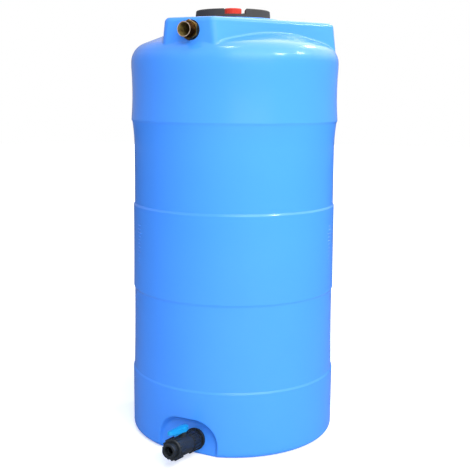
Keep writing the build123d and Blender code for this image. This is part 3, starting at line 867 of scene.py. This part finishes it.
def levelScaleTree(v):
    # bars on a line of heights, some of them longer, swelled and then bent round the wall
    sockets = {
        "Count": "Int", "Spacing": "Float", "Lowest": "Float",
        "Bar Width": "Float", "Bar Height": "Float", "Longer": "Float", "Proud": "Float",
        "Wall Radius": "Float", "Azimuth": "Float", "Finish": "Material",
    }
    tree, given = emptyTree("levelScale", sockets, "Scale")
    calculate = "ShaderNodeMath"
    start = addNode(tree, "ShaderNodeCombineXYZ", None, {"Z": given["Lowest"]})
    step = addNode(tree, "ShaderNodeCombineXYZ", None, {"Z": given["Spacing"]})
    line = addNode(
        tree,
        "GeometryNodeMeshLine",
        {"mode": "OFFSET"},
        {"Count": given["Count"], "Start Location": start.outputs[0], "Offset": step.outputs[0]},
    )
    # one bar, a unit wide and high, whose front swells like a pillow
    across, deep, high = v["grid"]
    bar = addNode(
        tree,
        "GeometryNodeMeshCube",
        {"Size": (1, 1, 1), "Vertices X": across, "Vertices Y": deep, "Vertices Z": high},
    )
    position = addNode(tree, "GeometryNodeInputPosition").outputs[0]
    where = addNode(tree, "ShaderNodeSeparateXYZ", None, {0: position})
    swell = []
    for axis, power in (("X", v["endRound"]), ("Z", v["edgeRound"])):
        full = addNode(tree, calculate, {"operation": "MULTIPLY", 1: 2.0}, {0: where.outputs[axis]})
        size = addNode(tree, calculate, {"operation": "ABSOLUTE"}, {0: full.outputs[0]})
        fall = addNode(tree, calculate, {"operation": "POWER", 1: power}, {0: size.outputs[0]})
        rise = addNode(tree, calculate, {"operation": "SUBTRACT", 0: 1.0}, {1: fall.outputs[0]})
        swell.append(rise.outputs[0])
    pillow = addNode(tree, calculate, {"operation": "MULTIPLY"}, {0: swell[0], 1: swell[1]})
    lifted = addNode(
        tree, "ShaderNodeMapRange", {"To Min": v["edge"], "To Max": 1.0}, {"Value": pillow.outputs[0]}
    )
    front = addNode(tree, calculate, {"operation": "GREATER_THAN", 1: 0.0}, {0: where.outputs["Y"]})
    depth = addNode(
        tree,
        "ShaderNodeMapRange",
        {"To Min": v["back"]},
        {"Value": front.outputs[0], "To Max": lifted.outputs["Result"]},
    )
    raised = addNode(
        tree, calculate, {"operation": "MULTIPLY"}, {0: depth.outputs["Result"], 1: given["Proud"]}
    )
    shaped = addNode(
        tree,
        "ShaderNodeCombineXYZ",
        None,
        {"X": where.outputs["X"], "Y": raised.outputs[0], "Z": where.outputs["Z"]},
    )
    barShape = addNode(
        tree,
        "GeometryNodeSetPosition",
        None,
        {"Geometry": bar.outputs["Mesh"], "Position": shaped.outputs[0]},
    )
    # the bars on their line
    index = addNode(tree, "GeometryNodeInputIndex").outputs[0]
    rest = addNode(tree, calculate, {"operation": "FLOORED_MODULO", 1: float(v["longerEvery"])}, {0: index})
    isLonger = addNode(tree, calculate, {"operation": "LESS_THAN", 1: 0.5}, {0: rest.outputs[0]})
    stretch = addNode(
        tree,
        "ShaderNodeMapRange",
        {"To Min": 1.0},
        {"Value": isLonger.outputs[0], "To Max": given["Longer"]},
    )
    width = addNode(
        tree,
        calculate,
        {"operation": "MULTIPLY"},
        {0: stretch.outputs["Result"], 1: given["Bar Width"]},
    )
    size = addNode(
        tree, "ShaderNodeCombineXYZ", {"Y": 1.0}, {"X": width.outputs[0], "Z": given["Bar Height"]}
    )
    placed = addNode(
        tree,
        "GeometryNodeInstanceOnPoints",
        None,
        {
            "Points": line.outputs["Mesh"],
            "Instance": barShape.outputs["Geometry"],
            "Scale": size.outputs[0],
        },
    )
    real = addNode(tree, "GeometryNodeRealizeInstances", None, {"Geometry": placed.outputs["Instances"]})
    # the flat scale bent round the wall
    position = addNode(tree, "GeometryNodeInputPosition").outputs[0]
    flat = addNode(tree, "ShaderNodeSeparateXYZ", None, {0: position})
    arc = addNode(
        tree, calculate, {"operation": "DIVIDE"}, {0: flat.outputs["X"], 1: given["Wall Radius"]}
    )
    angle = addNode(tree, calculate, {"operation": "ADD"}, {0: arc.outputs[0], 1: given["Azimuth"]})
    reach = addNode(
        tree, calculate, {"operation": "ADD"}, {0: flat.outputs["Y"], 1: given["Wall Radius"]}
    )
    sine = addNode(tree, calculate, {"operation": "SINE"}, {0: angle.outputs[0]})
    cosine = addNode(tree, calculate, {"operation": "COSINE"}, {0: angle.outputs[0]})
    x = addNode(tree, calculate, {"operation": "MULTIPLY"}, {0: reach.outputs[0], 1: sine.outputs[0]})
    y = addNode(tree, calculate, {"operation": "MULTIPLY"}, {0: reach.outputs[0], 1: cosine.outputs[0]})
    minusY = addNode(tree, calculate, {"operation": "MULTIPLY", 1: -1.0}, {0: y.outputs[0]})
    bent = addNode(
        tree,
        "ShaderNodeCombineXYZ",
        None,
        {"X": x.outputs[0], "Y": minusY.outputs[0], "Z": flat.outputs["Z"]},
    )
    wrapped = addNode(
        tree,
        "GeometryNodeSetPosition",
        None,
        {"Geometry": real.outputs["Geometry"], "Position": bent.outputs[0]},
    )
    closeTree(tree, wrapped.outputs["Geometry"], given["Finish"], "Scale")
    return tree


scaleTree = levelScaleTree(levelMarks)
barWidth, barHeight = levelMarks["bar"]
for side, azimuth in levelMarks["columns"].items():
    values = {
        "Count": levelMarks["count"],
        "Spacing": metres(levelMarks["spacing"]),
        "Lowest": metres(levelMarks["lowest"]),
        "Bar Width": metres(barWidth),
        "Bar Height": metres(barHeight),
        "Longer": levelMarks["longer"],
        "Proud": metres(levelMarks["proud"]),
        "Wall Radius": metres(levelMarks["bandRadius"]),
        "Azimuth": radians(azimuth),
        "Finish": shellFinish,
    }
    mesh = madeByTree(scaleTree, values, side + "LevelMarks")
    outwardFaces(mesh)
    mesh.shade_smooth()
    linkPiece(side + "LevelMarks", mesh, "tank_shell")
print("level marks moulded")


# copies of the CAD nodes with their edges broken, as moulds and cutters leave them: the width of
# the soft edge in millimetres, and the sharpest angle in degrees that stays as it is
softEdges = {
    "lidSkin": {"node": "lid_cap", "edge": 1.6, "angle": 32},
    "ventPlugSkin": {"node": "vent_plug", "edge": 0.5, "angle": 32},
    "gasketSkin": {"node": "lid_gasket", "edge": 0.5, "angle": 40},
    "inletSkin": {"node": "inlet_fitting", "edge": 0.35, "angle": 30},
    "bulkheadSkin": {"node": "outlet_bulkhead", "edge": 0.5, "angle": 35},
    "rearNutSkin": {"node": "rear_union_nut", "edge": 0.5, "angle": 35},
    "valveBodySkin": {"node": "valve_body", "edge": 0.4, "angle": 35},
    "frontNutSkin": {"node": "front_union_nut", "edge": 0.5, "angle": 35},
    "frontConnectorSkin": {"node": "front_connector", "edge": 0.5, "angle": 35},
    "leverSkin": {"node": "valve_lever", "edge": 0.45, "angle": 35},
}
# where the inlet changes its look, in millimetres: stale inside the bore's radius, faced and pale with a
# painted highlight beyond the face's station where enough of its normal points outward, and darkened with
# painted shade in the thread beyond the thread's foot and within its radius
inletFaces = {
    "boreRadius": 17.8,
    "faceStation": 11.8,
    "outward": 0.5,
    "threadFoot": -10.8,
    "threadRadius": 19.9,
}


def mergedMesh(nodeName, name, change=None):
    # a CAD node's loose triangles joined into one smooth mesh in the node's finish
    samePoint = metres(0.004)
    shape = bmesh.new()
    shape.from_mesh(nodes[nodeName].data)
    bmesh.ops.remove_doubles(shape, verts=shape.verts, dist=samePoint)
    if change:
        change(shape, nodeName)
    mesh = bpy.data.meshes.new(name + "Start")
    shape.to_mesh(mesh)
    shape.free()
    mesh.shade_smooth()
    mesh.materials.append(nodeFinishes[nodeName])
    return mesh


def turnDown(shape, nodeName):
    # the cylinder under a thread goes to the thread's root
    slack = metres(0.05)
    for v in threads.values():
        if v["node"] == nodeName and v["turned"]:
            low, high = (metres(station) for station in v["turned"])
            deep, shallow = sorted((metres(v["root"]), metres(v["crest"])))
            for vertex in shape.verts:
                if low < v["axis"].along(vertex.co) < high:
                    if deep - slack < v["axis"].radius(vertex.co) < shallow + slack:
                        vertex.co = v["axis"].moved(vertex.co, metres(v["root"]))


def dressInlet(mesh, v):
    # the tube's faced end, pale partly as a painted highlight, its stale bore and its thread, dark as
    # painted shade, each have their own look
    slots = {}
    for name, finish in (("face", faceFinish), ("bore", boreFinish), ("thread", threadFinish)):
        mesh.materials.append(finish)
        slots[name] = len(mesh.materials) - 1
    for face in mesh.polygons:
        along, radius = inletAxis.along(face.center), inletAxis.radius(face.center)
        looksOut = face.normal.dot(inletAxis.out) > v["outward"]
        if radius < metres(v["boreRadius"]):
            face.material_index = slots["bore"]
        elif along > metres(v["faceStation"]) and looksOut:
            face.material_index = slots["face"]
        elif along > metres(v["threadFoot"]) and radius < metres(v["threadRadius"]):
            face.material_index = slots["thread"]


def roundedCopy(pieceName, v):
    draft = draftOf(pieceName, mergedMesh(v["node"], pieceName, turnDown))
    bevel = draft.modifiers.new("softEdge", "BEVEL")
    bevel.width = metres(v["edge"])
    bevel.segments = 2  # enough for a soft glint at this size
    bevel.limit_method = "ANGLE"
    bevel.angle_limit = radians(v["angle"])
    bevel.miter_outer = "MITER_ARC"
    draft.modifiers.new("evenShading", "WEIGHTED_NORMAL").keep_sharp = True
    piece = linkPiece(pieceName, evaluatedMesh(draft, pieceName), v["node"])
    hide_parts(v["node"])
    return piece


for pieceName, v in softEdges.items():
    made = roundedCopy(pieceName, v)
    if v["node"] == "inlet_fitting":
        dressInlet(made.data, inletFaces)
print("edges softened:", len(softEdges))


# the shell keeps its CAD shape; its shading is made true where it is turned about the tank's axis;
# metres and degrees, and a slope is the upright share of a face's normal
shellShading = {
    "sharpAngle": 38,
    "nearAxis": 0.02,
    "wallRadius": 0.285,
    "wallSlope": 0.5,
    "domeAngle": 21,
    "domeFoot": 1.1,
    "domeSlack": 0.01,
    "sideways": 0.05,
}


def isTurned(face, v):
    # true for a face of the wall or the dome, and false for the block, the niche and the holes
    middle, facing = face.center, face.normal
    radius = Vector((middle.x, middle.y)).length
    if radius < v["nearAxis"]:
        return False
    along = Vector((-middle.y, middle.x)) / radius
    sideways = abs(facing.x * along.x + facing.y * along.y)
    isWall = radius > v["wallRadius"] and abs(facing.z) < v["wallSlope"]
    isDome = middle.z > v["domeFoot"] and abs(facing.z - cos(radians(v["domeAngle"]))) < v["domeSlack"]
    return sideways <= v["sideways"] and (isWall or isDome)


def shellSkin(v):
    mesh = mergedMesh("tank_shell", "tankSkin")
    mesh.set_sharp_from_angle(angle=radians(v["sharpAngle"]))
    draft = draftOf("tankSkin", mesh)
    draft.modifiers.new("evenShading", "WEIGHTED_NORMAL").keep_sharp = True
    skin = evaluatedMesh(draft, "tankSkin")
    normals = [Vector(corner.vector) for corner in skin.corner_normals]
    for face in skin.polygons:
        if not isTurned(face, v):
            continue
        outward = 1 if face.normal.x * face.center.x + face.normal.y * face.center.y > 0 else -1
        for loop in face.loop_indices:
            point = skin.vertices[skin.loops[loop].vertex_index].co
            level = Vector((point.x, point.y)).normalized()
            high = normals[loop].z
            flat = max(1 - high * high, 0) ** 0.5 * outward
            normals[loop] = Vector((level.x * flat, level.y * flat, high))
    skin.normals_split_custom_set([tuple(normal) for normal in normals])
    piece = linkPiece("tankSkin", skin, "tank_shell")
    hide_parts("tank_shell")


shellSkin(shellShading)
print("shell shaded")
